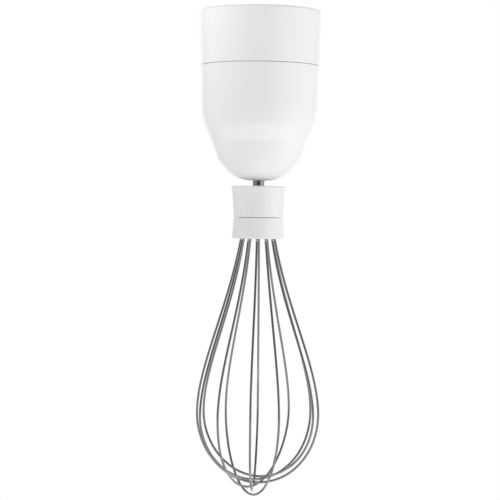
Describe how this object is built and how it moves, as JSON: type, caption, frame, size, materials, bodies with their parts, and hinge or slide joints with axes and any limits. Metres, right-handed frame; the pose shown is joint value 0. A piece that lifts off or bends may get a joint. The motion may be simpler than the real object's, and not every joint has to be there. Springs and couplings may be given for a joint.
{
  "type": "immersion blender whisk attachment",
  "caption": "Whisk attachment for a hand blender: white geared collar, two-part hub and a balloon whisk of steel wire loops that pulls out of the gearbox.",
  "frame": {"origin": "centre of the collar's rim, on the turning axis, in the plane of the rim", "axes": "+Z along the turning axis out of the socket, towards the motor unit; the whisk hangs towards -Z; the picture looks along +Y with +X to the right"},
  "size_m": [0.063, 0.063, 0.2453],
  "materials": {
    "housing_white": "white, smooth moulded gloss",
    "hub_white": "white, smooth moulded gloss",
    "cover_grey": "light grey, fine moulded grain",
    "gear_acetal": "natural acetal, unpainted",
    "coupling_black": "black acetal, satin",
    "inner_steel": "machined steel, lightly oiled",
    "screw_steel": "zinc-plated steel",
    "bush_bronze": "sintered bronze",
    "seal_rubber": "black, matt",
    "shaft_steel": "ground and polished stainless steel",
    "wire_steel": "polished stainless wire"
  },
  "bodies": {
    "housing": {"collar": "housing_white", "lower_shell": "housing_white", "gearbox_cover": "cover_grey", "cover_screw_1": "screw_steel", "cover_screw_2": "screw_steel", "cover_screw_3": "screw_steel", "ring_gear": "gear_acetal", "input_bush": "bush_bronze", "thrust_washer": "inner_steel", "upper_output_bush": "bush_bronze", "lower_output_bush": "bush_bronze", "shaft_seal": "seal_rubber"},
    "input": {"drive_coupling": "coupling_black", "input_shaft": "inner_steel", "sun_gear": "inner_steel"},
    "carrier": {"planet_carrier": "gear_acetal", "drive_pin": "inner_steel", "planet_retainer": "inner_steel", "planet_pin_1": "inner_steel", "planet_pin_2": "inner_steel", "planet_pin_3": "inner_steel", "output_sleeve": "inner_steel"},
    "planet_1": {"planet_gear_1": "gear_acetal"},
    "planet_2": {"planet_gear_2": "gear_acetal"},
    "planet_3": {"planet_gear_3": "gear_acetal"},
    "whisk": {"whisk_shaft": "shaft_steel", "grip_ring": "seal_rubber", "hub_sleeve": "hub_white", "hub_ring": "hub_white", "wire_holder": "hub_white", "wire_loop_1": "wire_steel", "wire_loop_2": "wire_steel", "wire_loop_3": "wire_steel", "wire_loop_4": "wire_steel", "wire_loop_5": "wire_steel", "wire_loop_6": "wire_steel"}
  },
  "joints": [
    {"name": "carrier_spin", "type": "hinge", "parent": "housing", "child": "carrier", "pos_m": [0, 0, 0], "axis": [0, 0, 1], "continuous": true},
    {"name": "input_spin", "type": "hinge", "parent": "housing", "child": "input", "pos_m": [0, 0, 0], "axis": [0, 0, 1], "continuous": true},
    {"name": "planet_1_spin", "type": "hinge", "parent": "carrier", "child": "planet_1", "pos_m": [0.01252, 0, 0], "axis": [0, 0, 1], "continuous": true},
    {"name": "planet_2_spin", "type": "hinge", "parent": "carrier", "child": "planet_2", "pos_m": [-0.00626, 0.01084, 0], "axis": [0, 0, 1], "continuous": true},
    {"name": "planet_3_spin", "type": "hinge", "parent": "carrier", "child": "planet_3", "pos_m": [-0.00626, -0.01084, 0], "axis": [0, 0, 1], "continuous": true},
    {"name": "whisk_pull", "type": "slide", "parent": "carrier", "child": "whisk", "axis": [0, 0, -1], "range_m": [0, 0.038]}
  ],
  "couplings": [
    {"joint": "input_spin", "follows": "carrier_spin", "ratio": 6},
    {"joint": "planet_1_spin", "follows": "carrier_spin", "ratio": -2.5},
    {"joint": "planet_2_spin", "follows": "carrier_spin", "ratio": -2.5},
    {"joint": "planet_3_spin", "follows": "carrier_spin", "ratio": -2.5}
  ]
}
